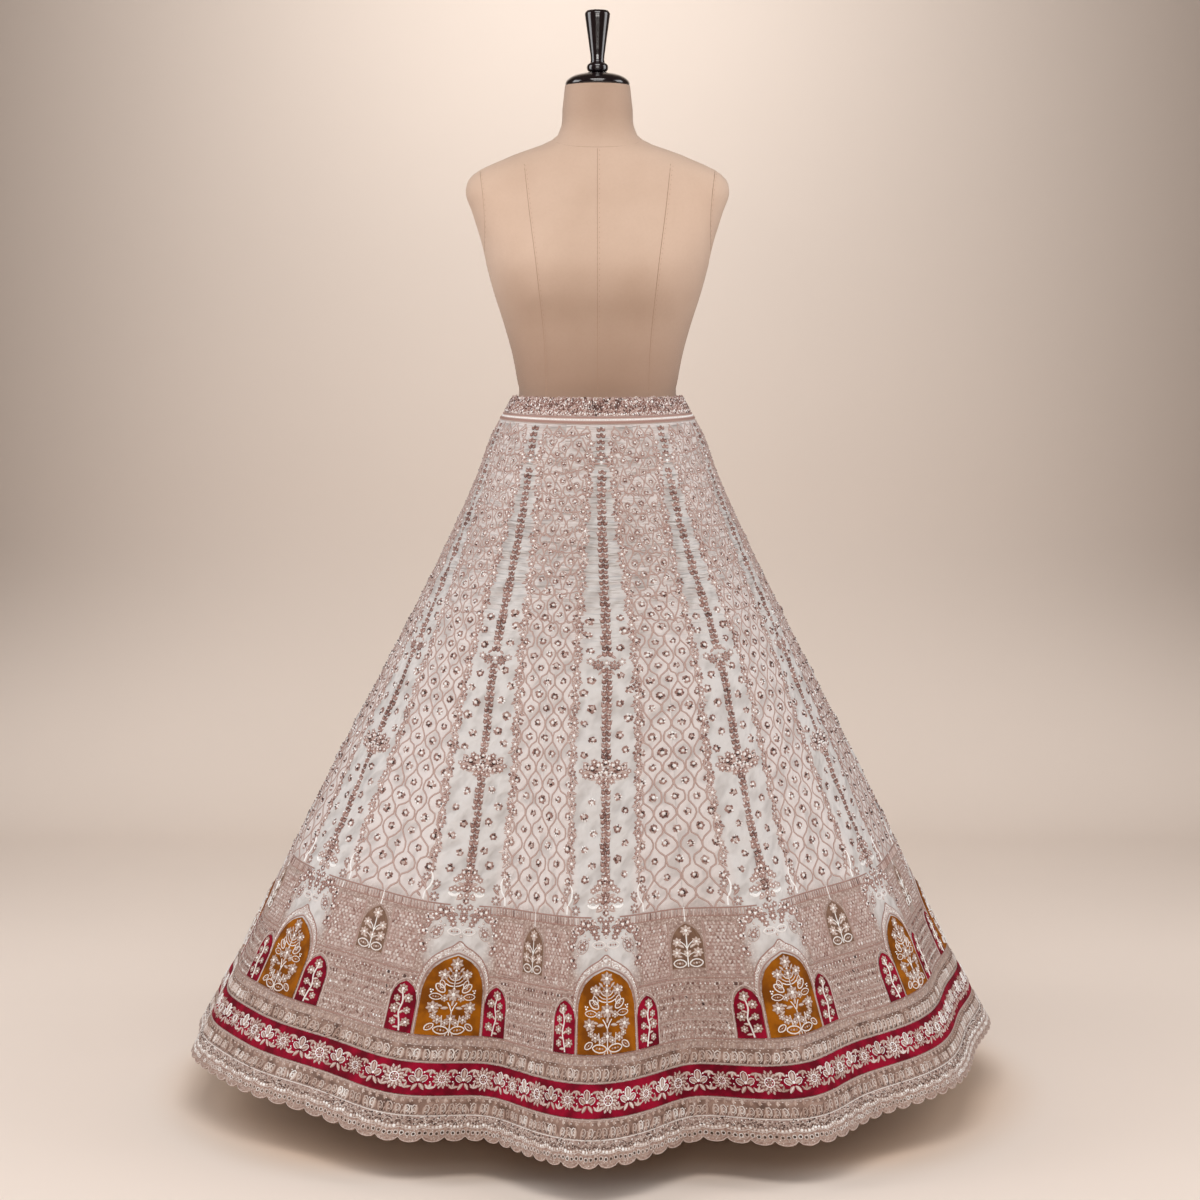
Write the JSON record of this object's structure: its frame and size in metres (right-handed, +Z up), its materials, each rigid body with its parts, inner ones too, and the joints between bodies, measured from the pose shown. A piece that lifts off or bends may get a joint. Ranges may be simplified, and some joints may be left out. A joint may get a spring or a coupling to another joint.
{
  "type": "lehenga skirt on a dress form",
  "caption": "Flared ankle-length lehenga skirt of gored panels with arch appliques, a plain band and a scalloped hem, resting on a limbless dress form with a round base.",
  "frame": {"origin": "middle of the stand's underside, on the floor", "axes": "+Z up, the front of the skirt faces -Y, +X is on the right as seen from the front"},
  "size_m": [1.1816, 1.2115, 1.597],
  "materials": {
    "ivory_cloth": "matt ivory silk ground with blush thread and sequins",
    "rose_beadwork": "dense rose beads and sequins",
    "mustard_velvet": "matt velvet",
    "maroon_velvet": "matt velvet",
    "form_cloth": "matt linen over padding",
    "black_lacquer": "gloss black lacquer",
    "stand_paint": "satin black paint"
  },
  "bodies": {
    "root": {"kali_01": "ivory_cloth", "kali_02": "ivory_cloth", "kali_03": "ivory_cloth", "kali_04": "ivory_cloth", "kali_05": "ivory_cloth", "kali_06": "ivory_cloth", "kali_07": "ivory_cloth", "kali_08": "ivory_cloth", "kali_09": "ivory_cloth", "kali_10": "ivory_cloth", "kali_11": "ivory_cloth", "kali_12": "ivory_cloth", "mustard_arch_01": "mustard_velvet", "mustard_arch_02": "mustard_velvet", "mustard_arch_03": "mustard_velvet", "mustard_arch_04": "mustard_velvet", "mustard_arch_05": "mustard_velvet", "mustard_arch_06": "mustard_velvet", "mustard_arch_07": "mustard_velvet", "mustard_arch_08": "mustard_velvet", "mustard_arch_09": "mustard_velvet", "mustard_arch_10": "mustard_velvet", "mustard_arch_11": "mustard_velvet", "mustard_arch_12": "mustard_velvet", "niche_left_01": "maroon_velvet", "niche_right_01": "maroon_velvet", "niche_left_02": "maroon_velvet", "niche_right_02": "maroon_velvet", "niche_left_03": "maroon_velvet", "niche_right_03": "maroon_velvet", "niche_left_04": "maroon_velvet", "niche_right_04": "maroon_velvet", "niche_left_05": "maroon_velvet", "niche_right_05": "maroon_velvet", "niche_left_06": "maroon_velvet", "niche_right_06": "maroon_velvet", "niche_left_07": "maroon_velvet", "niche_right_07": "maroon_velvet", "niche_left_08": "maroon_velvet", "niche_right_08": "maroon_velvet", "niche_left_09": "maroon_velvet", "niche_right_09": "maroon_velvet", "niche_left_10": "maroon_velvet", "niche_right_10": "maroon_velvet", "niche_left_11": "maroon_velvet", "niche_right_11": "maroon_velvet", "niche_left_12": "maroon_velvet", "niche_right_12": "maroon_velvet", "hem_band": "maroon_velvet", "scalloped_edging_front_right": "rose_beadwork", "scalloped_edging_back_right": "rose_beadwork", "scalloped_edging_back_left": "rose_beadwork", "scalloped_edging_front_left": "rose_beadwork", "waistband": "rose_beadwork", "waist_piping": "rose_beadwork", "form_torso": "form_cloth", "form_cap": "black_lacquer", "form_finial": "black_lacquer", "stand_pole": "stand_paint", "stand_base": "stand_paint"}
  },
  "joints": []
}
